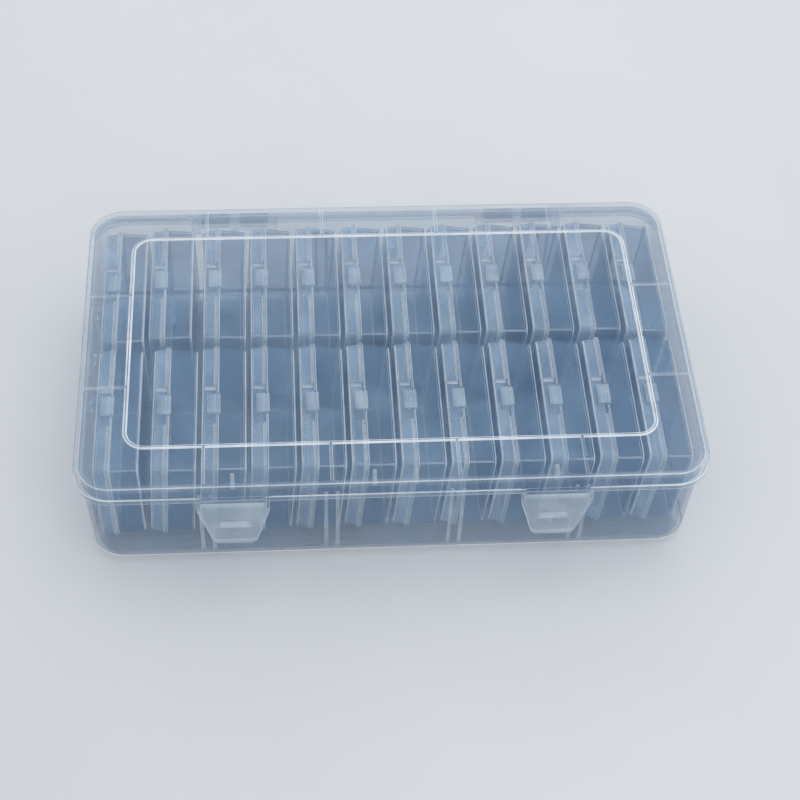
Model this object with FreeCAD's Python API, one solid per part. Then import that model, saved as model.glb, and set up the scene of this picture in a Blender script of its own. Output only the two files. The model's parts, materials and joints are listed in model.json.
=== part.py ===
import FreeCAD, Part
import os

# A clear craft storage box: a tray-shaped base, a shallow hinged lid and two
# flap latches. It holds two rows of small flip-lid cases standing on edge.
# Lengths are in millimetres. X is the width, -Y the front with the latches,
# +Y the back with the hinges and Z is up. The origin is the middle of the
# underside of the base.

# Outer box: overall shape.
lid_width = 264.0
lid_depth = 160.0
box_height = 56.0
shell_wall = 1.8
lid_side_gap = 0.4
lid_rest_gap = 0.2
skirt_height = 9.0
lip_height = 2.0
lip_reach = 0.8
lid_corner_radius = 15.0
lid_edge_radius = 2.0
wall_foot_inset = 1.5
foot_radius = 5.0
inner_foot_radius = 3.2
rim_round = 0.5

# Raised lines on the lid: one rounded rectangle and short ribs to the edge.
panel_side_margin = 20.0
panel_end_margin = 20.0
panel_shift = 1.0
panel_radius = 9.0
bead_width = 1.2
bead_height = 0.6

# Pairs of ribs inside the base walls, which would hold loose dividers.
groove_pitch = 52.5
long_wall_grooves = (-1.5, -0.5, 0.5, 1.5)
short_wall_grooves = (-0.5, 0.0, 0.5)
rib_spacing = 4.8
rib_width = 1.4
rib_reach = 1.0
rib_top_drop = 10.0

# Locating tabs under the lid's front edge.
tab_width = 1.6
tab_length = 3.7
tab_drop = 5.7
tab_wall_gap = 0.8
tab_inner_place = 8.6

# Back hinge: pins on stems of the base, open knuckles on the lid.
hinge_place = 66.5
hinge_width = 40.0
hinge_pin_radius = 1.5
turn_gap = 0.3
knuckle_wall = 1.5
knuckle_wall_gap = 0.5
knuckle_end_gap = 0.4
hinge_drop = 1.2
stem_width = 4.0
stem_rise = 0.6
stem_foot = 5.0
hinge_slot = 2.4

# Front latches: flaps that hang from a pin between two lugs under the lid's
# skirt, where the lip is cut away.
latch_place = 67.0
latch_top_width = 30.0
latch_foot_width = 17.5
latch_length = 25.5
latch_plate = 1.6
latch_corner_radius = 3.5
latch_pin_radius = 0.9
latch_slot = 1.5
barrel_wall = 0.8
barrel_length = 26.0
barrel_skirt_gap = 0.3
lug_width = 1.6
catch_width = 12.0
catch_height = 3.0
catch_drop = 13.7
catch_gap = 1.9
hook_height = 2.2
hook_clear = 0.4
latch_rib_width = 0.8
latch_rib_reach = 0.8
latch_rib_gap = 0.4

# Small case: a tray and a lid that meet at a flange, hinged along the bottom.
tray_share = 0.675
small_wall = 1.2
part_gap = 0.2
flange_reach = 0.9
flange_thickness = 0.8
small_corner_radius = 3.6
small_far_inset = 0.6
small_edge_radius = 1.6
body_rise = 3.0

# Small case: snap clasp in the middle of the top side.
recess_length = 21.0
recess_depth = 1.9
recess_round = 1.5
recess_margin = 1.2
clasp_length = 10.0
clasp_plate = 0.7
clasp_lift = 0.5
clasp_overhang = 1.7
clasp_root = 2.6
clasp_rib_width = 0.7
clasp_rib_height = 0.4
clasp_rib_drop = 0.4
clasp_rib_spacing = 1.7
flange_break = 12.0
nib_length = 8.0
nib_width = 0.7
nib_place = 0.8
nib_height = 0.3

# Small case: two snap hinges along the bottom side.
small_hinge_share = 0.26
small_hinge_length = 10.0
small_pin_radius = 0.7
small_hook_wall = 0.6
small_stem_width = 2.0
small_stem_reach = 2.2
small_slot = 1.1

# How the small cases stand in the box, and the room left round them. Their own
# length, height and thickness follow from it.
cases_per_row = 12
front_upright_count = 1
back_upright_count = 2
lean_degrees = 4.0
row_front_gap = 5.65
row_between_gap = 2.45
row_back_gap = 0.2
end_case_shift = 1.5
case_head_room = 1.9
seat_gap = 0.3
first_case_gap = 0.75
last_case_gap = 1.5
case_gap = 1.6
lean_overlap = 0.4

# Amounts used only to let shapes run into or past each other cleanly.
embed = 0.6
overrun = 2.0
same_place = 0.001


def box_between(low, high):
    """Block between two opposite corners."""
    size = high - low
    return Part.makeBox(size.x, size.y, size.z, low)


def corner(x, y, z):
    return FreeCAD.Vector(x, y, z)


def tapered_block(low_size, low_z, high_size, high_z, mid_y):
    """Block with a rectangle at each end, one above the other."""
    ends = sorted([(low_z, low_size), (high_z, high_size)])
    (bottom_z, bottom), (top_z, top) = ends
    block = Part.makeWedge(
        mid_y - bottom[1] / 2, bottom_z, -bottom[0] / 2, -top[0] / 2, mid_y - top[1] / 2,
        mid_y + bottom[1] / 2, top_z, bottom[0] / 2, top[0] / 2, mid_y + top[1] / 2)
    block.rotate(corner(0, 0, 0), corner(1, 1, 1), 120)
    return block


def rising_edges(shape):
    """Edges that run from one height to another."""
    found = []
    for edge in shape.Edges:
        ends = edge.Vertexes
        if abs(ends[0].Z - ends[-1].Z) > same_place:
            found.append(edge)
    return found


def edges_at_height(shape, z):
    """Edges that lie wholly at one height."""
    found = []
    for edge in shape.Edges:
        bounds = edge.BoundBox
        if abs(bounds.ZMin - z) < same_place and abs(bounds.ZMax - z) < same_place:
            found.append(edge)
    return found


def rounded_block(low_size, low_z, high_size, high_z, mid_y, radius):
    """Tapered block with its four rising edges rounded."""
    block = tapered_block(low_size, low_z, high_size, high_z, mid_y)
    return block.makeFillet(radius, rising_edges(block))


def rounded_plate(width, depth, low_z, high_z, mid_y, radius):
    return rounded_block((width, depth), low_z, (width, depth), high_z, mid_y, radius)


def rod_along_x(radius, x_low, x_high, y, z):
    return Part.makeCylinder(radius, x_high - x_low, corner(x_low, y, z), corner(1, 0, 0))


def outline_along_x(points, x_low, x_high):
    """Prism from a list of (y, z) points."""
    loop = [corner(x_low, y, z) for y, z in points]
    face = Part.Face(Part.makePolygon(loop + [loop[0]]))
    return face.extrude(corner(x_high - x_low, 0, 0))


def outline_along_y(points, y_low, y_high):
    """Prism from a list of (x, z) points."""
    loop = [corner(x, y_low, z) for x, z in points]
    face = Part.Face(Part.makePolygon(loop + [loop[0]]))
    return face.extrude(corner(0, y_high - y_low, 0))


def joined(first, others):
    return first.fuse(others).removeSplitter()


# Sizes that follow from the ones above.
skirt_z = box_height - skirt_height
lid_under_z = box_height - shell_wall
rim_z = lid_under_z - lid_rest_gap
rim_width = lid_width - 2 * (shell_wall + lid_side_gap)
rim_depth = lid_depth - 2 * (shell_wall + lid_side_gap)
base_corner_radius = lid_corner_radius - shell_wall - lid_side_gap
panel_width = lid_width - 2 * panel_side_margin
panel_depth = lid_depth - 2 * panel_end_margin


def wall_inset(z):
    """How far the base wall stands in from its rim at a height."""
    return wall_foot_inset * (rim_z - z) / rim_z


def outer_half_depth(z):
    return rim_depth / 2 - wall_inset(z)


def inner_half_depth(z):
    return outer_half_depth(z) - shell_wall


def inner_half_width(z):
    return rim_width / 2 - wall_inset(z) - shell_wall


# The back hinge's axis stands clear of the base wall and under the skirt.
knuckle_radius = hinge_pin_radius + turn_gap + knuckle_wall
hinge_y = rim_depth / 2 + knuckle_wall_gap + knuckle_radius
hinge_z = skirt_z - hinge_drop

# The latch's axis does the same in front of the front wall.
barrel_radius = latch_pin_radius + turn_gap + barrel_wall
latch_y = -(rim_depth / 2 + knuckle_wall_gap + barrel_radius)
latch_z = skirt_z - barrel_skirt_gap - barrel_radius
lug_inner = barrel_length / 2 + turn_gap
lug_outer = lug_inner + lug_width
plate_inner_y = latch_y - turn_gap / 2
catch_face_y = plate_inner_y + catch_gap
catch_low_z = latch_z - catch_drop


def make_base():
    """Tray with leaning walls, rib pairs, hinge pins and latch catches."""
    foot = (rim_width - 2 * wall_foot_inset, rim_depth - 2 * wall_foot_inset)
    outer = rounded_block(foot, 0, (rim_width, rim_depth), rim_z, 0, base_corner_radius)
    outer = outer.makeFillet(foot_radius, edges_at_height(outer, 0))
    top_z = rim_z + overrun
    low_size = (2 * inner_half_width(shell_wall), 2 * inner_half_depth(shell_wall))
    top_size = (2 * inner_half_width(top_z), 2 * inner_half_depth(top_z))
    inner_radius = base_corner_radius - shell_wall
    inner = rounded_block(low_size, shell_wall, top_size, top_z, 0, inner_radius)
    inner = inner.makeFillet(inner_foot_radius, edges_at_height(inner, shell_wall))
    base = outer.cut(inner)
    base = base.makeFillet(rim_round, edges_at_height(base, rim_z))

    additions = []
    low_z = shell_wall - embed
    high_z = rim_z - rib_top_drop
    for groove in long_wall_grooves:
        for side in (-1, 1):
            points = [
                (side * (inner_half_depth(low_z) + embed), low_z),
                (side * (inner_half_depth(low_z) - rib_reach), low_z),
                (side * (inner_half_depth(high_z) - rib_reach), high_z),
                (side * (inner_half_depth(high_z) + embed), high_z),
            ]
            for half in (-1, 1):
                mid = groove * groove_pitch + half * rib_spacing / 2
                additions.append(outline_along_x(points, mid - rib_width / 2, mid + rib_width / 2))
    for groove in short_wall_grooves:
        for side in (-1, 1):
            points = [
                (side * (inner_half_width(low_z) + embed), low_z),
                (side * (inner_half_width(low_z) - rib_reach), low_z),
                (side * (inner_half_width(high_z) - rib_reach), high_z),
                (side * (inner_half_width(high_z) + embed), high_z),
            ]
            for half in (-1, 1):
                mid = groove * groove_pitch + half * rib_spacing / 2
                additions.append(outline_along_y(points, mid - rib_width / 2, mid + rib_width / 2))
    additions = [rib.common(outer) for rib in additions]

    for side in (-1, 1):
        middle = side * hinge_place
        half = hinge_width / 2
        additions.append(rod_along_x(hinge_pin_radius, middle - half, middle + half, hinge_y, hinge_z))
        wall_y = outer_half_depth(hinge_z - stem_foot) - embed
        points = [
            (wall_y, hinge_z + stem_rise),
            (hinge_y, hinge_z + stem_rise),
            (hinge_y, hinge_z - hinge_pin_radius + turn_gap),
            (wall_y, hinge_z - stem_foot),
        ]
        for stem_mid in (-half + stem_width / 2, 0, half - stem_width / 2):
            low_x = middle + stem_mid - stem_width / 2
            additions.append(outline_along_x(points, low_x, low_x + stem_width))

    for side in (-1, 1):
        low_x = side * latch_place - catch_width / 2
        wall_y = -outer_half_depth(catch_low_z) + embed
        points = [
            (wall_y, catch_low_z),
            (catch_face_y, catch_low_z),
            (catch_face_y, catch_low_z + catch_height / 2),
            (wall_y, catch_low_z + catch_height),
        ]
        additions.append(outline_along_x(points, low_x, low_x + catch_width))
    return joined(base, additions)


def make_lid():
    """Shallow cap with a lip, raised lines, knuckles, tabs and latch pins."""
    cap = rounded_plate(lid_width, lid_depth, skirt_z, box_height, 0, lid_corner_radius)
    cap = cap.makeFillet(lid_edge_radius, edges_at_height(cap, box_height))
    lip_width = lid_width + 2 * lip_reach
    lip_depth = lid_depth + 2 * lip_reach
    lip_radius = lid_corner_radius + lip_reach
    lip = rounded_plate(lip_width, lip_depth, skirt_z, skirt_z + lip_height, 0, lip_radius)
    lip = lip.makeFillet(rim_round, edges_at_height(lip, skirt_z + lip_height))
    hollow_width = lid_width - 2 * shell_wall
    hollow_depth = lid_depth - 2 * shell_wall
    hollow_radius = lid_corner_radius - shell_wall
    hollow = rounded_plate(hollow_width, hollow_depth, skirt_z - overrun, lid_under_z, 0, hollow_radius)
    lid = cap.fuse(lip).cut(hollow).removeSplitter()

    # Raised rectangle and the ribs from it to the edge.
    low_z = box_height - embed
    high_z = box_height + bead_height
    frame = rounded_plate(panel_width, panel_depth, low_z, high_z, panel_shift, panel_radius)
    window_width = panel_width - 2 * bead_width
    window_depth = panel_depth - 2 * bead_width
    window_radius = panel_radius - bead_width
    window = rounded_plate(window_width, window_depth, low_z, high_z, panel_shift, window_radius)
    additions = [frame.cut(window)]
    half_bead = bead_width / 2
    for groove in long_wall_grooves:
        x = groove * groove_pitch
        for side in (-1, 1):
            inner_y = panel_shift + side * (panel_depth / 2 - half_bead)
            outer_y = side * (lid_depth / 2 - lid_edge_radius)
            low = corner(x - half_bead, min(inner_y, outer_y), low_z)
            high = corner(x + half_bead, max(inner_y, outer_y), high_z)
            additions.append(box_between(low, high))
    for groove in (short_wall_grooves[0], short_wall_grooves[-1]):
        y = groove * groove_pitch
        for side in (-1, 1):
            inner_x = side * (panel_width / 2 - half_bead)
            outer_x = side * (lid_width / 2 - lid_edge_radius)
            low = corner(min(inner_x, outer_x), y - half_bead, low_z)
            high = corner(max(inner_x, outer_x), y + half_bead, high_z)
            additions.append(box_between(low, high))

    # Tabs that drop just inside the base's front wall.
    tab_y = -inner_half_depth(rim_z) + tab_wall_gap
    for x in (-latch_place, -tab_inner_place, tab_inner_place, latch_place):
        low = corner(x - tab_width / 2, tab_y, lid_under_z - tab_drop)
        high = corner(x + tab_width / 2, tab_y + tab_length, lid_under_z + embed)
        additions.append(box_between(low, high))
    lid = lid.fuse(additions)

    # Room for the hinge stems, then the knuckles on their webs.
    sweep_radius = knuckle_radius + knuckle_end_gap
    skirt_inner_y = lid_depth / 2 - shell_wall
    for side in (-1, 1):
        middle = side * hinge_place
        half = hinge_width / 2 + knuckle_end_gap
        lid = lid.cut(rod_along_x(sweep_radius, middle - half, middle + half, hinge_y, hinge_z))
    knuckles = []
    bores = []
    for side in (-1, 1):
        middle = side * hinge_place
        near = stem_width / 2 + knuckle_end_gap
        far = hinge_width / 2 - stem_width - knuckle_end_gap
        for turn in (-1, 1):
            low_x = min(middle + turn * near, middle + turn * far)
            high_x = max(middle + turn * near, middle + turn * far)
            knuckles.append(rod_along_x(knuckle_radius, low_x, high_x, hinge_y, hinge_z))
            low = corner(low_x, skirt_inner_y, hinge_z)
            high = corner(high_x, hinge_y, skirt_z + knuckle_radius)
            knuckles.append(box_between(low, high))
            bore_radius = hinge_pin_radius + turn_gap
            bores.append(rod_along_x(bore_radius, low_x - embed, high_x + embed, hinge_y, hinge_z))
            low = corner(low_x - embed, hinge_y - hinge_slot / 2, hinge_z - knuckle_radius - embed)
            high = corner(high_x + embed, hinge_y + hinge_slot / 2, hinge_z)
            bores.append(box_between(low, high))
    lid = lid.fuse(knuckles)
    for bore in bores:
        lid = lid.cut(bore)

    # The lip stops at each latch, and two lugs below the skirt hold its pin.
    fittings = []
    for side in (-1, 1):
        middle = side * latch_place
        low = corner(middle - lug_inner, -lip_depth / 2 - overrun, skirt_z - overrun)
        high = corner(middle + lug_inner, -lid_depth / 2, skirt_z + lip_height)
        lid = lid.cut(box_between(low, high))
        pin_ends = (middle - lug_outer, middle + lug_outer)
        fittings.append(rod_along_x(latch_pin_radius, *pin_ends, latch_y, latch_z))
        for turn in (-1, 1):
            low_x = min(middle + turn * lug_inner, middle + turn * lug_outer)
            fittings.append(rod_along_x(barrel_radius, low_x, low_x + lug_width, latch_y, latch_z))
            low = corner(low_x, -lid_depth / 2, latch_z)
            high = corner(low_x + lug_width, -hollow_depth / 2, skirt_z + embed)
            fittings.append(box_between(low, high))
    return joined(lid, fittings)


def make_latch(middle):
    """Flap with an open barrel along its top edge, and a hook and ribs behind."""
    top_z = latch_z - barrel_radius - turn_gap
    foot_z = latch_z - latch_length
    loop = [
        corner(middle - latch_foot_width / 2, plate_inner_y, foot_z),
        corner(middle + latch_foot_width / 2, plate_inner_y, foot_z),
        corner(middle + latch_top_width / 2, plate_inner_y, top_z),
        corner(middle - latch_top_width / 2, plate_inner_y, top_z),
    ]
    face = Part.Face(Part.makePolygon(loop + [loop[0]]))
    plate = face.extrude(corner(0, -latch_plate, 0))
    foot_corners = []
    for edge in plate.Edges:
        bounds = edge.BoundBox
        if bounds.YLength > latch_plate / 2 and bounds.ZMax < top_z - same_place:
            foot_corners.append(edge)
    plate = plate.makeFillet(latch_corner_radius, foot_corners)

    half = barrel_length / 2
    barrel = rod_along_x(barrel_radius, middle - half, middle + half, latch_y, latch_z)
    hook_top = catch_low_z - hook_clear
    low = corner(middle - catch_width / 2, plate_inner_y - embed, hook_top - hook_height)
    high = corner(middle + catch_width / 2, catch_face_y - hook_clear, hook_top)
    hook = box_between(low, high)
    outer_y = plate_inner_y - latch_plate
    low = corner(middle - half, outer_y, top_z - embed)
    high = corner(middle + half, plate_inner_y, latch_z)
    additions = [barrel, hook, box_between(low, high)]
    for turn in (-1, 1):
        near_x = middle + turn * (catch_width / 2 + latch_rib_gap)
        far_x = near_x + turn * latch_rib_width
        low = corner(min(near_x, far_x), plate_inner_y - embed, hook_top - hook_height)
        high = corner(max(near_x, far_x), plate_inner_y + latch_rib_reach, top_z)
        additions.append(box_between(low, high))
    latch = joined(plate, additions)
    bore_radius = latch_pin_radius + turn_gap
    latch = latch.cut(rod_along_x(bore_radius, middle - half, middle + half, latch_y, latch_z))
    low = corner(middle - half, latch_y - latch_slot / 2, latch_z)
    high = corner(middle + half, latch_y + latch_slot / 2, latch_z + barrel_radius + embed)
    return latch.cut(box_between(low, high))


# The small cases fill the room between the ribs of the base walls. Two rows
# share the depth, and the lid's underside limits the height.
room_half_depth = inner_half_depth(shell_wall) - rib_reach
room_half_width = inner_half_width(shell_wall) - rib_reach
small_length = room_half_depth - (row_front_gap + row_between_gap + row_back_gap) / 2
small_height = lid_under_z - shell_wall - seat_gap - case_head_room
front_row_y = row_front_gap + small_length / 2 - room_half_depth
back_row_y = room_half_depth - row_back_gap - small_length / 2
small_hinge_place = small_hinge_share * small_length

# Along a row each case takes one pitch, and the last one leans towards the wall.
lean_turn = FreeCAD.Rotation(corner(0, 1, 0), lean_degrees)
lean_reach = lean_turn.multVec(corner(0, 0, small_height)).x
lean_cosine = lean_turn.multVec(corner(1, 0, 0)).x
last_room = inner_half_width(rim_z) - lean_reach - last_case_gap
row_room = room_half_width - first_case_gap + last_room + lean_overlap
thickness_share = tray_share * lean_cosine + 1 - tray_share
case_pitch = (row_room + case_gap * thickness_share) / (cases_per_row - 1 + thickness_share)
tray_depth = tray_share * (case_pitch - case_gap)
small_lid_depth = (1 - tray_share) * (case_pitch - case_gap)
first_case_x = first_case_gap + small_lid_depth - room_half_width
last_case_x = last_room - tray_depth * lean_cosine

# The small case is built lying flat: X along its length, Y up its height and
# Z through its thickness, with the parting plane at Z zero and the hinge's
# foot at Y zero. It is stood on edge when it is placed.
body_length = small_length - 2 * flange_reach
body_top = small_height - flange_reach
body_height = body_top - body_rise
body_mid = (body_top + body_rise) / 2
hook_radius = small_pin_radius + turn_gap + small_hook_wall
small_axis = hook_radius
scoop_radius = hook_radius + turn_gap
recess_floor = body_top - recess_depth
clasp_low = body_top + clasp_lift


def small_shell(side, depth, keep_clear):
    """Half of a small case; side 1 is the tray and side -1 the lid."""
    rim = side * part_gap / 2
    far = side * depth
    inner_far = side * (depth - small_wall)
    rim_size = (body_length, body_height)
    far_size = (body_length - 2 * small_far_inset, body_height - 2 * small_far_inset)
    outer = rounded_block(rim_size, rim, far_size, far, body_mid, small_corner_radius)
    outer = outer.makeFillet(small_edge_radius, edges_at_height(outer, far))
    shrink = 2 * small_wall
    inner_rim = (rim_size[0] - shrink, rim_size[1] - shrink)
    inner_size = (far_size[0] - shrink, far_size[1] - shrink)
    inner_radius = small_corner_radius - small_wall
    inner = rounded_block(inner_rim, rim, inner_size, inner_far, body_mid, inner_radius)
    flange_length = body_length + 2 * flange_reach
    flange_height = body_height + 2 * flange_reach
    flange_far = rim + side * flange_thickness
    flange_radius = small_corner_radius + flange_reach
    flange = rounded_plate(flange_length, flange_height, rim, flange_far, body_mid, flange_radius)
    gap_low = corner(-flange_break / 2, body_top, min(rim, flange_far))
    gap_high = corner(flange_break / 2, body_top + flange_reach, max(rim, flange_far))
    flange = flange.cut(box_between(gap_low, gap_high))
    hollow = inner
    for block in keep_clear:
        hollow = hollow.cut(block)
    return outer.fuse(flange).cut(hollow).removeSplitter()


def hinge_rod(radius, middle, length):
    start = corner(middle - length / 2, small_axis, 0)
    return Part.makeCylinder(radius, length, start, corner(1, 0, 0))


def make_small_tray():
    """Tray with pins for the hinge and a nib for the clasp."""
    tray = small_shell(1, tray_depth, [])
    for side in (-1, 1):
        tray = tray.cut(hinge_rod(scoop_radius, side * small_hinge_place, small_hinge_length))
    additions = []
    for side in (-1, 1):
        middle = side * small_hinge_place
        additions.append(hinge_rod(small_pin_radius, middle, small_hinge_length - 2 * turn_gap))
        for end in (-1, 1):
            stem_mid = middle + end * (small_hinge_length - small_stem_width) / 2
            low = corner(stem_mid - small_stem_width / 2, 0, part_gap)
            high = corner(stem_mid + small_stem_width / 2, body_rise + embed, small_stem_reach)
            additions.append(box_between(low, high))
    low = corner(-nib_length / 2, body_top - small_wall / 2, nib_place - nib_width / 2)
    high = corner(nib_length / 2, body_top + nib_height, nib_place + nib_width / 2)
    additions.append(box_between(low, high))
    return joined(tray, additions)


def make_small_lid():
    """Lid with a recessed clasp above and open hooks for the hinge below."""
    half = recess_length / 2
    low_z = -small_lid_depth + recess_margin
    low = corner(-half, recess_floor, low_z)
    high = corner(half, body_top + overrun, overrun)
    recess = box_between(low, high)
    low = corner(-half - small_wall, recess_floor - small_wall, -small_lid_depth)
    high = corner(half + small_wall, body_top, 0)
    backing = box_between(low, high)
    rounded = []
    for edge in recess.Edges:
        bounds = edge.BoundBox
        if bounds.ZLength > small_wall and bounds.YMax < recess_floor + same_place:
            rounded.append(edge)
    recess = recess.makeFillet(recess_round, rounded)
    lid = small_shell(-1, small_lid_depth, [backing])
    lid = lid.cut(recess)
    for side in (-1, 1):
        lid = lid.cut(hinge_rod(scoop_radius, side * small_hinge_place, small_hinge_length))

    additions = []
    low = corner(-clasp_length / 2, recess_floor - small_wall / 2, low_z + recess_margin)
    high = corner(clasp_length / 2, clasp_low + clasp_plate, -clasp_root)
    additions.append(box_between(low, high))
    low = corner(-clasp_length / 2, clasp_low, -clasp_root)
    high = corner(clasp_length / 2, clasp_low + clasp_plate, clasp_overhang)
    additions.append(box_between(low, high))
    rib_top = clasp_low + clasp_plate + clasp_rib_height
    for step in (0, 1):
        rib_end = clasp_overhang - clasp_rib_drop - step * clasp_rib_spacing
        low = corner(-clasp_length / 2, clasp_low, rib_end - clasp_rib_width)
        high = corner(clasp_length / 2, rib_top, rib_end)
        additions.append(box_between(low, high))

    hook_length = small_hinge_length - 2 * (small_stem_width + turn_gap)
    for side in (-1, 1):
        middle = side * small_hinge_place
        additions.append(hinge_rod(hook_radius, middle, hook_length))
        low = corner(middle - hook_length / 2, small_axis, -small_stem_reach)
        high = corner(middle + hook_length / 2, body_rise + embed, -part_gap)
        additions.append(box_between(low, high))
    lid = joined(lid, additions)
    for side in (-1, 1):
        middle = side * small_hinge_place
        lid = lid.cut(hinge_rod(small_pin_radius + turn_gap, middle, hook_length))
        low = corner(middle - hook_length / 2, small_axis - small_slot / 2, 0)
        high = corner(middle + hook_length / 2, small_axis + small_slot / 2, hook_radius + embed)
        lid = lid.cut(box_between(low, high))
    return lid


def stood_on_edge(shape):
    """Turn a flat-built small case so that its length runs along Y."""
    stood = shape.copy()
    stood.rotate(corner(0, 0, 0), corner(1, 1, 1), 120)
    return stood


def placed(shape, x, y, lean):
    """Lean a standing small case towards +X and set it on the box's floor."""
    moved = shape.copy()
    moved.rotate(corner(0, 0, 0), corner(0, 1, 0), lean)
    moved.translate(corner(x, y, shell_wall + seat_gap))
    return moved


def case_places():
    """Name, position and lean of every small case."""
    places = []
    rows = (("front", front_row_y, front_upright_count), ("back", back_row_y, back_upright_count))
    for row, row_y, upright in rows:
        for number in range(cases_per_row):
            # At the back, the end cases stand clear of the box's round corners.
            at_end = row == "back" and number in (0, cases_per_row - 1)
            y = row_y - end_case_shift if at_end else row_y
            if number < upright:
                x = first_case_x + number * case_pitch
                lean = 0.0
            else:
                x = last_case_x - (cases_per_row - 1 - number) * case_pitch
                lean = lean_degrees
            places.append(("%s_%02d" % (row, number + 1), x, y, lean))
    return places


pieces = {
    "outer_base": make_base(),
    "outer_lid": make_lid(),
    "latch_left": make_latch(-latch_place),
    "latch_right": make_latch(latch_place),
}
small_tray = stood_on_edge(make_small_tray())
small_lid = stood_on_edge(make_small_lid())
for name, x, y, lean in case_places():
    pieces["small_tray_" + name] = placed(small_tray, x, y, lean)
    pieces["small_lid_" + name] = placed(small_lid, x, y, lean)

os.makedirs("parts", exist_ok=True)
for name, shape in pieces.items():
    solids = shape.Solids
    if len(solids) == 1:
        shape = solids[0]
    shape.exportStep("parts/" + name + ".step")
    bounds = shape.BoundBox
    print("%-20s solids %d valid %s volume %9.1f  x %.1f..%.1f y %.1f..%.1f z %.1f..%.1f" % (
        name, len(solids), shape.isValid(), shape.Volume,
        bounds.XMin, bounds.XMax, bounds.YMin, bounds.YMax, bounds.ZMin, bounds.ZMax))
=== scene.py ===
# %% [markdown]
# # A clear craft box full of small cases
# The real box is moulded in clear plastic: a tray-shaped base, a shallow hinged
# lid with two frosted latches, and two rows of small flip-lid cases that stand
# on edge inside it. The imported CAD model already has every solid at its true
# size and place. It is loaded first and stays fixed, and all that follows is
# about what CAD leaves out: soft edges, light in the plastic, and finish.

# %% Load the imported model
import json
import math
import bpy
from mathutils import Matrix, Vector


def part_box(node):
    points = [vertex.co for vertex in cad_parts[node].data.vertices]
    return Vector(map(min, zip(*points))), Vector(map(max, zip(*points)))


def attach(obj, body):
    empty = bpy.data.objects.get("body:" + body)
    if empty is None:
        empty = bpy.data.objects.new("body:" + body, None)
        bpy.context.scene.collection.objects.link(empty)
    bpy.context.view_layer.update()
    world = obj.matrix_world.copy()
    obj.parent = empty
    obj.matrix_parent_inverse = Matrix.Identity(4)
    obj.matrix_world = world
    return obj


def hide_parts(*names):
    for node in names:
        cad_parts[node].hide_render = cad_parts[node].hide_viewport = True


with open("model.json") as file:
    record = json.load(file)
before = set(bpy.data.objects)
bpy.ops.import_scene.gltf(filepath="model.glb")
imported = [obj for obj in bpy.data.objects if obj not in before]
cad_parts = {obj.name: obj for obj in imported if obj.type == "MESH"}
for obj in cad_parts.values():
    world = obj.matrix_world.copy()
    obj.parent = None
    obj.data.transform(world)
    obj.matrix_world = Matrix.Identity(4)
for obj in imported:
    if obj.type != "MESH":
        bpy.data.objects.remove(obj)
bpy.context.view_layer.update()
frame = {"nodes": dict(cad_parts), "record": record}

MM = 0.001

# %% [markdown]
# ## Small helpers for materials
# A procedural material is a tree of nodes. A few helpers keep the trees readable:
# they add a node with its settings, join two nodes, and start or place a shader
# node group, which is a small tree with named inputs and outputs that several
# materials can share.

# %% Helpers that add and join nodes
def add_node(tree, kind, values=None, **settings):
    """Add a node; settings are set on the node and values on its input sockets."""
    node = tree.nodes.new(kind)
    for name, value in settings.items():
        setattr(node, name, value)
    for socket, value in (values or {}).items():
        node.inputs[socket].default_value = value
    return node


def wire(tree, source, output, target, socket):
    tree.links.new(source.outputs[output], target.inputs[socket])


# %% Helpers for node groups
def start_group(name, inputs, outputs):
    """Start a node group whose inputs and outputs are all plain numbers."""
    group = bpy.data.node_groups.new(name, "ShaderNodeTree")
    kind = "NodeSocketFloat"
    for socket, value in inputs.items():
        made = group.interface.new_socket(name=socket, in_out="INPUT", socket_type=kind)
        made.default_value = value
    for socket in outputs:
        group.interface.new_socket(name=socket, in_out="OUTPUT", socket_type=kind)
    return group, group.nodes.new("NodeGroupInput"), group.nodes.new("NodeGroupOutput")


def use_group(tree, group, values):
    return add_node(tree, "ShaderNodeGroup", values, node_tree=group)


# %% [markdown]
# ## Shared effects: clouds, grain and handling marks
# Clear moulded plastic is never perfectly even. Where the melt flowed slower it
# sets a little milkier, its skin has a very fine grain, and handling leaves
# hair-thin marks. A picture of a scratched surface could be mapped on, but noise on
# Object coordinates gives the same effect at any distance, with no seams.

# %% The cloud and grain group
def make_cloud_group():
    inputs = {"Cloud Scale": 40.0, "Grain Scale": 2400.0}
    group, given, out = start_group("moulding_clouds", inputs, ["Clouds", "Grain"])
    place = add_node(group, "ShaderNodeTexCoord")
    soft = {"Detail": 2.0, "Roughness": 0.55, "Distortion": 0.4}
    clouds = add_node(group, "ShaderNodeTexNoise", soft)
    grain = add_node(group, "ShaderNodeTexNoise", {"Detail": 1.0, "Roughness": 0.6})
    for noise, scale in ((clouds, "Cloud Scale"), (grain, "Grain Scale")):
        wire(group, place, "Object", noise, "Vector")
        wire(group, given, scale, noise, "Scale")
    spread = add_node(group, "ShaderNodeMapRange", {"From Min": 0.3, "From Max": 0.7})
    wire(group, clouds, "Fac", spread, "Value")
    wire(group, spread, "Result", out, "Clouds")
    wire(group, grain, "Fac", out, "Grain")
    return group


cloud_group = make_cloud_group()
print("made group", cloud_group.name)

# %% The handling mark group
# Each row holds a turn about z, in radians, and how far the noise is squeezed.
MARK_DIRECTIONS = ((0.5, (26.0, 1500.0, 300.0)), (-0.9, (18.0, 1100.0, 260.0)))
MARK_TILT = 0.2
ONLY_PEAKS = {"From Min": 0.69, "From Max": 0.76}


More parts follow.
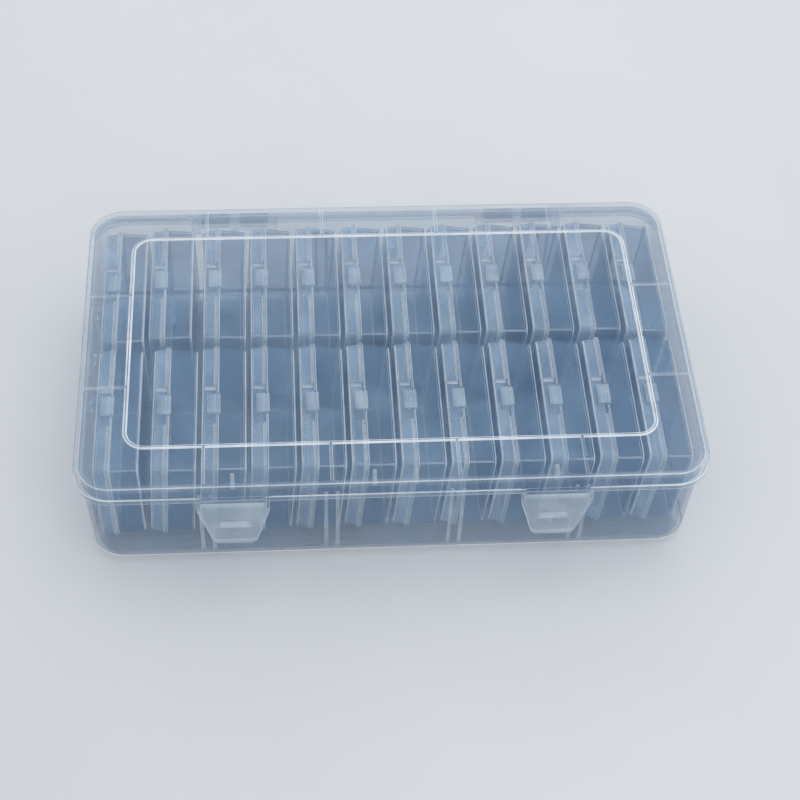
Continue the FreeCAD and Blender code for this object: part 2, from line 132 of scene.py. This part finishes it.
def make_mark_group():
    """Hair-thin marks in two directions, from noise that is stretched lengthwise."""
    group, given, out = start_group("handling_marks", {"Amount": 1.0}, ["Marks"])
    place = add_node(group, "ShaderNodeTexCoord")
    either = add_node(group, "ShaderNodeMath", operation="MAXIMUM")
    for number, (turn, squeeze) in enumerate(MARK_DIRECTIONS):
        lie = {"Rotation": (0.0, MARK_TILT, turn), "Scale": squeeze}
        turned = add_node(group, "ShaderNodeMapping", lie)
        noise = add_node(group, "ShaderNodeTexNoise", {"Scale": 1.0, "Detail": 1.0})
        thin = add_node(group, "ShaderNodeMapRange", ONLY_PEAKS)
        wire(group, place, "Object", turned, "Vector")
        wire(group, turned, "Vector", noise, "Vector")
        wire(group, noise, "Fac", thin, "Value")
        wire(group, thin, "Result", either, number)
    scaled = add_node(group, "ShaderNodeMath", operation="MULTIPLY")
    wire(group, either, "Value", scaled, 0)
    wire(group, given, "Amount", scaled, 1)
    wire(group, scaled, "Value", out, "Marks")
    return group


mark_group = make_mark_group()
print("made group", mark_group.name)

# %% [markdown]
# ## The clear plastic
# A sheet of this plastic lets most light through, scatters a little as a bluish
# haze, and looks denser the more steeply one looks along it. Glass with bending
# light would be one way, but dozens of nested thin walls then turn dark. Here the
# haze is the surface's colour and Alpha says how much of it there is, so the
# walls add up as real ones do. Light passes a hazy wall far better than sight
# does, because it is scattered onwards, so shadow rays meet a thinner wall.

# %% Helpers that work out one value of a finish
def between(tree, source, output, ends):
    """Turn a value from 0 to 1 into one between two ends."""
    spread = add_node(tree, "ShaderNodeMapRange", {"To Min": ends[0], "To Max": ends[1]})
    wire(tree, source, output, spread, "Value")
    return spread.outputs["Result"]


def add_share(tree, start, source, output, share):
    """Add a share of another value to a start value."""
    total = add_node(tree, "ShaderNodeMath", {1: share}, operation="MULTIPLY_ADD")
    wire(tree, source, output, total, 0)
    tree.links.new(start, total.inputs[2])
    return total.outputs["Value"]


def tint(tree, clouded, deep, milky):
    """The colour runs from deep to milky as the clouds do."""
    colour = add_node(tree, "ShaderNodeMix", data_type="RGBA")
    colour.inputs["A"].default_value = (*deep, 1.0)
    colour.inputs["B"].default_value = (*milky, 1.0)
    wire(tree, clouded, "Clouds", colour, "Factor")
    return colour.outputs["Result"]


# %% Helpers for Alpha and for the grain's relief
GRAZING_POWER = 3.0


def see_through(tree, density, steep, shade):
    """Alpha is higher along the surface, and lower for rays that look for a lamp."""
    facing = add_node(tree, "ShaderNodeLayerWeight", {"Blend": 0.5})
    grazing = add_node(tree, "ShaderNodeMath", {1: GRAZING_POWER}, operation="POWER")
    wire(tree, facing, "Facing", grazing, 0)
    path = add_node(tree, "ShaderNodeLightPath")
    seen = add_node(tree, "ShaderNodeMath", operation="MULTIPLY", use_clamp=True)
    denser = add_share(tree, density, grazing, "Value", steep)
    thinner = between(tree, path, "Is Shadow Ray", (1.0, shade))
    tree.links.new(denser, seen.inputs[0])
    tree.links.new(thinner, seen.inputs[1])
    return seen.outputs["Value"]


def relief(tree, clouded, bump):
    raised = add_node(tree, "ShaderNodeBump", {"Strength": bump[0], "Distance": bump[1]})
    wire(tree, clouded, "Grain", raised, "Height")
    return raised.outputs["Normal"]


# %% A function for every clear finish
FAINT_BUMP = (0.03, 0.0001)
PLASTIC_IOR = 1.6
MARK_DULLNESS, MARK_HAZE = 0.25, 0.12


def plastic(name, deep, milky, haze, steep, shade, rough, clouds, bump=FAINT_BUMP, marks=0.0):
    """haze and rough are pairs of ends; steep is the haze added along the surface."""
    material = bpy.data.materials.new(name)
    material.use_nodes = True
    tree = material.node_tree
    shader = tree.nodes["Principled BSDF"]
    shader.inputs["IOR"].default_value = PLASTIC_IOR
    clouded = use_group(tree, cloud_group, clouds)
    dullness = between(tree, clouded, "Grain", rough)
    density = between(tree, clouded, "Clouds", haze)
    if marks:
        marked = use_group(tree, mark_group, {"Amount": marks})
        dullness = add_share(tree, dullness, marked, "Marks", MARK_DULLNESS)
        density = add_share(tree, density, marked, "Marks", MARK_HAZE)
    tree.links.new(tint(tree, clouded, deep, milky), shader.inputs["Base Color"])
    tree.links.new(dullness, shader.inputs["Roughness"])
    tree.links.new(see_through(tree, density, steep, shade), shader.inputs["Alpha"])
    tree.links.new(relief(tree, clouded, bump), shader.inputs["Normal"])
    return material


# %% [markdown]
# ## The finishes of this box
# The big shell is the clearest. The small cases are thinner but a little milkier.
# The latches have a frosted skin so that a finger grips them. Every rounded edge
# gathers the light that runs inside the wall and glows nearly white; that glow is
# painted in, as a finish of its own, denser and paler than the faces. Other
# roundings get a fainter painted sheen.

# %% Finishes of the shell
SHELL_CLOUDS = {"Cloud Scale": 24.0, "Grain Scale": 2200.0}
EDGE_CLOUDS = {"Cloud Scale": 70.0, "Grain Scale": 2400.0}
shell_face = plastic(
    "clear_shell_face", deep=(0.11, 0.23, 0.39), milky=(0.26, 0.42, 0.60), haze=(0.08, 0.13),
    steep=0.40, shade=0.3, rough=(0.05, 0.14), clouds=SHELL_CLOUDS, marks=1.0)
shell_floor = plastic(
    "clear_shell_floor", deep=(0.08, 0.18, 0.31), milky=(0.20, 0.33, 0.48), haze=(0.16, 0.24),
    steep=0.40, shade=0.3, rough=(0.10, 0.22), clouds=SHELL_CLOUDS, marks=1.0)
# Painted sheen: paler roundings, rim, lip, hinge, raised-line tops and the shaded catch.
shell_round_sheen = plastic(
    "clear_shell_painted_sheen", deep=(0.40, 0.50, 0.60), milky=(0.58, 0.67, 0.75), haze=(0.20, 0.32),
    steep=0.30, shade=0.3, rough=(0.06, 0.15), clouds=EDGE_CLOUDS)
shell_rib = plastic(
    "clear_shell_rib", deep=(0.66, 0.74, 0.81), milky=(0.84, 0.89, 0.94), haze=(0.45, 0.60),
    steep=0.30, shade=0.3, rough=(0.06, 0.15), clouds=EDGE_CLOUDS)
# Painted glow: the bright finish of rounded edges, the foot line, the tabs and the raised lines'
# sides.
shell_edge_glow = plastic(
    "clear_shell_painted_edge_glow", deep=(0.86, 0.91, 0.95), milky=(0.97, 0.98, 1.00), haze=(0.78, 0.94),
    steep=0.20, shade=0.4, rough=(0.10, 0.22), clouds=EDGE_CLOUDS)
print("made five shell finishes")

# %% Finishes of the small cases
CASE_CLOUDS = {"Cloud Scale": 40.0, "Grain Scale": 2400.0}
case_face = plastic(
    "small_case_face", deep=(0.13, 0.25, 0.42), milky=(0.29, 0.46, 0.66), haze=(0.15, 0.24),
    steep=0.40, shade=0.25, rough=(0.08, 0.18), clouds=CASE_CLOUDS, marks=0.6)
# Painted sheen on the narrow sides of the small lids.
case_strip_sheen = plastic(
    "small_case_strip_painted_sheen", deep=(0.37, 0.52, 0.69), milky=(0.56, 0.72, 0.88), haze=(0.26, 0.38),
    steep=0.35, shade=0.25, rough=(0.08, 0.18), clouds=CASE_CLOUDS)
# Painted glow of the small cases' rounded edges.
case_edge_glow = plastic(
    "small_case_painted_edge_glow", deep=(0.84, 0.90, 0.95), milky=(0.96, 0.98, 1.00), haze=(0.68, 0.88),
    steep=0.20, shade=0.4, rough=(0.12, 0.24), clouds=EDGE_CLOUDS)
# The clasp is paler from doubled plastic; the same finish is a painted highlight on rounded corners.
case_clasp_and_corner_sheen = plastic(
    "small_case_clasp_and_corner_sheen", deep=(0.50, 0.61, 0.71), milky=(0.68, 0.77, 0.85), haze=(0.32, 0.45),
    steep=0.30, shade=0.3, rough=(0.12, 0.24), clouds=EDGE_CLOUDS)
print("made four case finishes")

# %% Finishes of the latches
LATCH_CLOUDS = {"Cloud Scale": 60.0, "Grain Scale": 2600.0}
FROST_BUMP = (0.35, 0.0002)
latch_face = plastic(
    "frosted_latch_face", deep=(0.50, 0.60, 0.69), milky=(0.64, 0.73, 0.80), haze=(0.30, 0.40),
    steep=0.30, shade=0.3, rough=(0.42, 0.60), clouds=LATCH_CLOUDS, bump=FROST_BUMP, marks=0.4)
# Painted glow of the latches' rounded edges, also painted light on the hook.
latch_edge_glow = plastic(
    "frosted_latch_edge", deep=(0.82, 0.88, 0.93), milky=(0.95, 0.97, 0.99), haze=(0.75, 0.90),
    steep=0.20, shade=0.4, rough=(0.30, 0.45), clouds=LATCH_CLOUDS, bump=FROST_BUMP)
print("made two latch finishes")

# %% [markdown]
# ## Soft edges
# A mould leaves no razor edge: every corner of the real plastic is slightly round,
# and that round is what catches the light. The CAD solids have sharp small edges.
# Remodelling each piece would only copy its shape, so each solid's mesh is copied,
# its loose triangles are merged into whole faces, and a Bevel modifier rounds the
# sharp edges. The same rounding all over would make the faces of tiny details
# cross, so each edge gets a weight: edges that follow each other form a run, and
# the shorter the run, the less it is rounded. The modifier also gives the new
# narrow faces the second material slot, which is the bright edge finish: the
# painted glow of a rounded edge.

# %% Helpers to work on one piece
def work_on(piece):
    """Deselect all else, because an operator acts on everything that is selected."""
    bpy.ops.object.select_all(action="DESELECT")
    piece.select_set(True)
    bpy.context.view_layer.objects.active = piece


def own_copy(source, name):
    """Copy an object with a mesh of its own, free of the body that the source rides on."""
    piece = source.copy()
    piece.data = source.data.copy()
    piece.name = piece.data.name = name
    piece.parent = None
    for note in list(piece.keys()):
        del piece[note]
    bpy.context.scene.collection.objects.link(piece)
    return piece


# %% Merge triangles, and find the sharp edges
SAME_POINT = 0.002 * MM
FLAT = math.radians(1)
SHARP = math.radians(35)


def whole_faces(piece):
    """Merge the loose triangles into whole faces, and leave the sharp edges selected."""
    bpy.ops.mesh.customdata_custom_splitnormals_clear()
    bpy.ops.object.mode_set(mode="EDIT")
    bpy.ops.mesh.select_all(action="SELECT")
    bpy.ops.mesh.remove_doubles(threshold=SAME_POINT)
    bpy.ops.mesh.dissolve_limited(angle_limit=FLAT)
    bpy.ops.mesh.select_mode(type="EDGE")
    bpy.ops.mesh.select_all(action="DESELECT")
    bpy.ops.mesh.edges_select_sharp(sharpness=SHARP)
    bpy.ops.object.mode_set(mode="OBJECT")


# %% Give each sharp edge a weight
LONG_RUN, TINY_RUN = 30.0 * MM, 8.0 * MM
SHORT_RUN_SHARE = 0.3


def edge_length(mesh, edge):
    start, end = (mesh.vertices[number].co for number in edge.vertices)
    return (end - start).length


def edge_runs(mesh):
    """Sort the selected edges into runs, which go on where just two of them meet."""
    meeting = {}
    for edge in mesh.edges:
        for number in edge.vertices if edge.select else ():
            meeting.setdefault(number, []).append(edge)
    waiting = {edge.index: edge for edge in mesh.edges if edge.select}
    while waiting:
        run, next_edges = [], [waiting.popitem()[1]]
        while next_edges:
            edge = next_edges.pop()
            run.append(edge)
            for number in edge.vertices:
                others = meeting[number] if len(meeting[number]) == 2 else ()
                next_edges += [waiting.pop(other.index) for other in others if other.index in waiting]
        yield run


def weigh_edges(mesh, long_run):
    """Round a long run of sharp edges in full, a short one less, and a tiny one not at all."""
    weights = mesh.attributes.new("bevel_weight_edge", "FLOAT", "EDGE").data
    for run in edge_runs(mesh):
        length = sum(edge_length(mesh, edge) for edge in run)
        share = SHORT_RUN_SHARE if length > TINY_RUN else 0.0
        for edge in run:
            weights[edge.index].value = 1.0 if length > long_run else share


# %% Round the edges and even out the shading
# The second slot is the bright edge finish, a painted glow.
FACE, EDGE = 0, 1
SMOOTH_BELOW = math.radians(50)


def round_edges(piece, radius):
    soften = piece.modifiers.new("soft edges", "BEVEL")
    soften.width = radius
    soften.segments = 2
    soften.limit_method = "WEIGHT"
    soften.use_clamp_overlap = False
    soften.miter_outer = "MITER_ARC"
    soften.material = EDGE
    bpy.ops.object.modifier_apply(modifier=soften.name)
    bpy.ops.object.mode_set(mode="EDIT")
    bpy.ops.mesh.select_all(action="SELECT")
    bpy.ops.mesh.dissolve_degenerate(threshold=SAME_POINT)
    bpy.ops.object.mode_set(mode="OBJECT")


def shade_evenly(piece):
    bpy.ops.object.shade_smooth_by_angle(angle=SMOOTH_BELOW)
    even = piece.modifiers.new("even shading", "WEIGHTED_NORMAL")
    even.keep_sharp = True
    bpy.ops.object.modifier_apply(modifier=even.name)


# %% A function that makes a soft-edged copy of a solid
def soft_copy(node, name, radius, finishes, long_run=LONG_RUN):
    """The first finish is for the faces, the second for the new soft edges."""
    piece = own_copy(frame["nodes"][node], name)
    work_on(piece)
    piece.data.materials.clear()
    for finish in finishes:
        piece.data.materials.append(finish)
    whole_faces(piece)
    weigh_edges(piece.data, long_run)
    for polygon in piece.data.polygons:
        polygon.material_index = FACE
    round_edges(piece, radius)
    shade_evenly(piece)
    return piece


# %% Functions that paint a piece and put it in its solid's place
def paint(piece, pick):
    """Let a rule choose each face's slot from its middle in mm, its normal and its slot."""
    used = [0] * len(piece.data.materials)
    for polygon in piece.data.polygons:
        middle, slot = polygon.center / MM, polygon.material_index
        polygon.material_index = pick(middle, polygon.normal, slot)
        used[polygon.material_index] += 1
    print(piece.name, "faces by finish:", used)


def stand_for(piece, node):
    """Show the piece instead of a solid, and let it move with that solid's body."""
    bodies = frame["record"]["behaviour"]["bodies"]
    body = next(name for name, nodes in bodies.items() if node in nodes)
    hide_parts(node)
    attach(piece, body)


def inside(value, ends):
    return ends[0] < value < ends[1]


# %% [markdown]
# ## Base and lid
# Both are single mouldings. What looks white on them are the places where light
# leaves the wall: the line round the foot, the raised lines on the lid, the lip
# and the small solid tabs; that glow is painted in. The ribs inside the walls are
# solid too and look milky, and the big roundings get a painted sheen that is only
# a little paler than the walls. The rim, the hinge and the catch, which sits in
# shade behind the flap, get the same painted sheen. A rule picks all of these by
# place and normal, as one would pick faces by hand. All lengths in the rules are in mm.

# %% Find the ribs inside the base
GROOVE_PITCH, RIB_FROM_GROOVE, RIB_HALF_WIDTH = 26.25, 2.4, 0.75
RIB_HEIGHTS = (2.0, 45.0)
LONG_WALL_Y, LONG_WALL_END = 70.0, 118.0
SIDE_WALL_X, SIDE_WALL_END = 122.0, 66.0


def on_rib(at):
    """Ribs stand in pairs, one rib on each side of a divider's groove."""
    at_long_wall = abs(at.y) > LONG_WALL_Y and abs(at.x) < LONG_WALL_END
    at_side_wall = abs(at.x) > SIDE_WALL_X and abs(at.y) < SIDE_WALL_END
    if not inside(at.z, RIB_HEIGHTS) or not (at_long_wall or at_side_wall):
        return False
    along = at.x if at_long_wall else at.y
    from_groove = abs(along - GROOVE_PITCH * round(along / GROOVE_PITCH))
    return abs(from_groove - RIB_FROM_GROOVE) < RIB_HALF_WIDTH


# %% Soften the base
# The pale slot holds a painted sheen.
PALE_SHEEN, FLOOR, RIB = 2, 3, 4
SHELL_RADIUS = 0.35 * MM
BASE_LONG_RUN = 60.0 * MM
FOOT_HEIGHT, FOOT_LINE_SLOPES = 6.0, (-0.50, -0.12)
RIM_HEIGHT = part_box("outer_base")[1].z / MM - 0.6
HINGE_Y = 79.0
FLOOR_TOP, FLOOR_SLOPE = 2.0, 0.95
CATCH_Y, CATCH_HEIGHTS = -77.5, (30.0, 34.5)
LATCH_X, CATCH_HALF_WIDTH = 67.0, 6.3


def base_finish(at, normal, slot):
    # Painted glow along the line round the foot.
    if at.z < FOOT_HEIGHT and inside(normal.z, FOOT_LINE_SLOPES):
        return EDGE
    if slot == FACE and on_rib(at):
        return RIB
    if at.z > RIM_HEIGHT or at.y > HINGE_Y:
        return PALE_SHEEN
    # Painted light: the catch sits in shade behind the flap and gets the pale sheen.
    before_catch = abs(abs(at.x) - LATCH_X) < CATCH_HALF_WIDTH and at.y < CATCH_Y
    if slot == FACE and before_catch and inside(at.z, CATCH_HEIGHTS):
        return PALE_SHEEN
    return FLOOR if at.z < FLOOR_TOP and abs(normal.z) > FLOOR_SLOPE else slot


base_finishes = [shell_face, shell_edge_glow, shell_round_sheen, shell_floor, shell_rib]
base = soft_copy("outer_base", "base_shell", SHELL_RADIUS, base_finishes, BASE_LONG_RUN)
paint(base, base_finish)
stand_for(base, "outer_base")

# %% Soften the lid
LID_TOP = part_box("outer_lid")[1].z / MM - 0.6
ABOVE_TOP, ROUNDING_DEPTH, ROUNDING_SLOPES = 0.02, 2.1, (0.1, 0.97)
RECTANGLE_HALF_X, RECTANGLE_HALF_Y, RECTANGLE_MIDDLE_Y = 112.5, 60.5, 1.0
LEVEL_SLOPE, RIB_SIDE_SLOPE = 0.98, 0.5
TAB_END_X, TAB_DEPTHS, TAB_HEIGHTS = 80.0, (-75.5, -70.5), (47.5, 54.0)
LIP_HEIGHT, LIP_X, LIP_Y = 49.1, 132.4, 80.4


# Raised lines: painted glow on their sides, painted sheen on their tops.
def raised_line_finish(at, normal):
    on_rectangle = (abs(at.x) < RECTANGLE_HALF_X
                    and abs(at.y - RECTANGLE_MIDDLE_Y) < RECTANGLE_HALF_Y)
    shines = on_rectangle or normal.z > RIB_SIDE_SLOPE
    return EDGE if normal.z < LEVEL_SLOPE and shines else PALE_SHEEN


def lid_finish(at, normal, slot):
    if at.z > LID_TOP + ABOVE_TOP:
        return raised_line_finish(at, normal)
    if at.z > LID_TOP - ROUNDING_DEPTH and inside(normal.z, ROUNDING_SLOPES):
        return PALE_SHEEN
    # Painted glow on the small tabs.
    if abs(at.x) < TAB_END_X and inside(at.y, TAB_DEPTHS) and inside(at.z, TAB_HEIGHTS):
        return EDGE
    on_lip = at.z < LIP_HEIGHT and (abs(at.x) > LIP_X or abs(at.y) > LIP_Y)
    return PALE_SHEEN if slot == FACE and on_lip else slot


lid = soft_copy("outer_lid", "lid_shell", SHELL_RADIUS, [shell_face, shell_edge_glow, shell_round_sheen])
paint(lid, lid_finish)
stand_for(lid, "outer_lid")

# %% [markdown]
# ## Latches
# Each latch is a tapering flap that hangs from a thin pin between two lugs of the
# lid. Its skin is frosted. The hook behind it sits in shade; it is given the bright
# edge finish, painted light, so it shows through the flap as a white bar.

# %% Soften the latches
LATCH_RADIUS = 0.3 * MM
HOOK_Y, HOOK_HEIGHTS = -80.4, (28.0, 31.0)


def latch_finish(at, normal, slot):
    # Painted light: the shaded hook gets the bright edge finish.
    return EDGE if at.y > HOOK_Y and inside(at.z, HOOK_HEIGHTS) else slot


for side in ("left", "right"):
    node, name = "latch_" + side, side + "_latch_flap"
    latch = soft_copy(node, name, LATCH_RADIUS, [latch_face, latch_edge_glow])
    paint(latch, latch_finish)
    stand_for(latch, node)

# %% [markdown]
# ## Small cases
# All trays are alike, and so are their lids. A few cases stand upright and the
# rest lean against each other, so each shape is softened once for each way of
# standing and then copied to its place in the row. Every copy has its own mesh.
# Of the lids, the narrow side that faces up gets a painted sheen and looks palest,
# and the clasp is paler still because the plastic is doubled there. The middle of
# each rounded corner gets a painted highlight, a pale line in the clasp's finish,
# and the rounded edges get the painted edge glow.

# %% The rule for the small parts
STRIP_SHEEN, CLASP_AND_CORNER_SHEEN = 2, 3
CLASP_HALF_LENGTH, CLASP_DEPTH = 5.3, 1.5
NOTCH_ENDS, NOTCH_DEPTH, NOTCH_SLOPE = (8.0, 10.9), 4.2, 0.4
SIDEWAYS, ROUNDED_EDGE = 0.45, (0.45, 0.88)
CORNER_MIDDLE = (0.62, 0.79)


def case_rule(node, lean):
    """One small part's rule: painted edge glow and corner highlight; on a lid, painted strip sheen
    and clasp.
    """
    low, high = (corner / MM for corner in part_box(node))
    middle = (low.y + high.y) / 2
    broad_side = Vector((math.cos(lean), 0.0, -math.sin(lean)))
    is_lid = node.startswith("small_lid")

    def pick(at, normal, slot):
        off_middle, below_top = abs(at.y - middle), high.z - at.z
        broad, along = abs(normal.dot(broad_side)), abs(normal.y)
        on_clasp = off_middle < CLASP_HALF_LENGTH and below_top < CLASP_DEPTH
        if is_lid and on_clasp and slot == FACE:
            return CLASP_AND_CORNER_SHEEN
        at_notch = inside(off_middle, NOTCH_ENDS) and below_top < NOTCH_DEPTH
        # Painted glow on the rounded edges and on the lid's notch.
        if is_lid and at_notch and along > NOTCH_SLOPE or inside(broad, ROUNDED_EDGE):
            return EDGE
        if slot != FACE or broad >= SIDEWAYS:
            return slot
        # Painted highlight along the middle of each rounded corner.
        if inside(along, CORNER_MIDDLE):
            return CLASP_AND_CORNER_SHEEN
        # Painted sheen on the lid's narrow sides.
        return STRIP_SHEEN if is_lid else slot
    return pick


# %% Soften one of each, then copy
CASE_RADIUS = 0.25 * MM
LEAN = math.radians(4)
case_finishes = [case_face, case_edge_glow, case_strip_sheen, case_clasp_and_corner_sheen]


def case_width(node):
    low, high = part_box(node)
    return round((high - low).x / MM, 1)


for part in ("small_tray", "small_lid"):
    nodes = sorted(name for name in frame["nodes"] if name.startswith(part))
    upright_width = min(case_width(node) for node in nodes)
    models = {}
    for node in nodes:
        low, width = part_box(node)[0], case_width(node)
        name = node.replace("small", "case")
        if width not in models:
            piece = soft_copy(node, name, CASE_RADIUS, case_finishes)
            paint(piece, case_rule(node, 0.0 if width == upright_width else LEAN))
            models[width] = (piece, low)
        else:
            model, start = models[width]
            piece = own_copy(model, name)
            piece.data.transform(Matrix.Translation(low - start))
        stand_for(piece, node)
    print(part, "made in widths", sorted(models), "for", len(nodes), "nodes")

# %% [markdown]
# ## Floor and light
# A plain pale floor and three soft lamps. The lamps are large, so their
# reflections in the rounded edges are long and soft. The floor is a little uneven
# in tone, as paper is, and lies just below the box so that the two never share a
# plane.

# %% Floor
FLOOR_RADIUS, FLOOR_DROP = 6.0, 0.4 * MM
bpy.ops.object.select_all(action="DESELECT")
bpy.ops.mesh.primitive_circle_add(
    vertices=96, radius=FLOOR_RADIUS, fill_type="NGON", location=(0, 0, -FLOOR_DROP))
floor = bpy.context.object
floor.name = "floor"
paper = bpy.data.materials.new("pale_floor")
paper.use_nodes = True
paper_tree = paper.node_tree
paper_shader = paper_tree.nodes["Principled BSDF"]
paper_shader.inputs["Roughness"].default_value = 0.45
paper_place = add_node(paper_tree, "ShaderNodeTexCoord")
fibre = add_node(paper_tree, "ShaderNodeTexNoise", {"Scale": 12.0, "Detail": 4.0})
tone = add_node(paper_tree, "ShaderNodeMix", data_type="RGBA")
tone.inputs["A"].default_value = (0.70, 0.71, 0.72, 1.0)
tone.inputs["B"].default_value = (0.74, 0.75, 0.76, 1.0)
wire(paper_tree, paper_place, "Object", fibre, "Vector")
wire(paper_tree, fibre, "Fac", tone, "Factor")
wire(paper_tree, tone, "Result", paper_shader, "Base Color")
floor.data.materials.append(paper)
print("floor of", FLOOR_RADIUS, "m radius")

# %% Lamps
AIM = Vector((0, 0, 0.03))


def lamp(name, place, size, watts, colour):
    light = bpy.data.lights.new(name, "AREA")
    light.shape = "RECTANGLE"
    light.size, light.size_y = size
    light.energy = watts
    light.color = colour
    holder = bpy.data.objects.new(name, light)
    bpy.context.scene.collection.objects.link(holder)
    holder.location = place
    holder.rotation_euler = (AIM - Vector(place)).to_track_quat("-Z", "Y").to_euler()
    print("lamp", name, "at", place)


lamp("overhead_softbox", (0.30, 0.1, 1.2), (1.0, 0.9), 4.4, (1.0, 1.0, 1.0))
lamp("back_strip", (-0.1, 1.0, 0.75), (1.2, 0.35), 1.7, (0.94, 0.97, 1.0))
lamp("front_fill", (0.8, -0.9, 0.7), (0.7, 0.7), 1.5, (1.0, 0.98, 0.96))

# %% Room light
# The room lights the box at one strength, and is seen and mirrored a little brighter.
ROOM_LIT, ROOM_SEEN = 0.70, 0.9
world = bpy.data.worlds.new("pale_room")
bpy.context.scene.world = world
world.use_nodes = True
room_tree = world.node_tree
room = room_tree.nodes["Background"]
room.inputs["Color"].default_value = (0.86, 0.90, 0.95, 1.0)
room_path = add_node(room_tree, "ShaderNodeLightPath")
mirrored = add_node(room_tree, "ShaderNodeMath", operation="ADD", use_clamp=True)
looked_at = add_node(room_tree, "ShaderNodeMath", operation="ADD", use_clamp=True)
wire(room_tree, room_path, "Is Glossy Ray", mirrored, 0)
wire(room_tree, room_path, "Is Transmission Ray", mirrored, 1)
wire(room_tree, room_path, "Is Camera Ray", looked_at, 0)
wire(room_tree, mirrored, "Value", looked_at, 1)
room_strength = between(room_tree, looked_at, "Value", (ROOM_LIT, ROOM_SEEN))
room_tree.links.new(room_strength, room.inputs["Strength"])
print("room light at", ROOM_LIT)

# %% [markdown]
# ## Camera
# The camera stands where the photograph was taken from. Its place, turn and
# lens were worked out from the lid's corners: it looks down steeply, from a
# little to the left, and is rolled by a few degrees.

# %% Set the camera
CAMERA_PLACE = (-0.04096, -0.48810, 0.62050)
LENS, SENSOR = 77.0, 36.0
yaw, pitch, roll = math.radians(5.66), math.radians(51.22), math.radians(2.93)
level = Vector((math.cos(yaw), -math.sin(yaw), 0.0))
ahead = Vector((math.sin(yaw) * math.cos(pitch), math.cos(yaw) * math.cos(pitch), -math.sin(pitch)))
above = level.cross(ahead)
rightward = math.cos(roll) * level + math.sin(roll) * above
upward = math.cos(roll) * above - math.sin(roll) * level
camera_turn = Matrix((rightward, upward, -ahead)).transposed().to_4x4()
camera_data = bpy.data.cameras.new("photo_camera")
camera_data.sensor_width = SENSOR
camera_data.lens = LENS
camera = bpy.data.objects.new("photo_camera", camera_data)
bpy.context.scene.collection.objects.link(camera)
camera.matrix_world = Matrix.Translation(CAMERA_PLACE) @ camera_turn
bpy.context.scene.camera = camera
print("camera at", CAMERA_PLACE)

# %% Plain colour, and light through many walls
bpy.context.scene.view_settings.view_transform = "Standard"
bpy.context.scene.cycles.transparent_max_bounces = 96
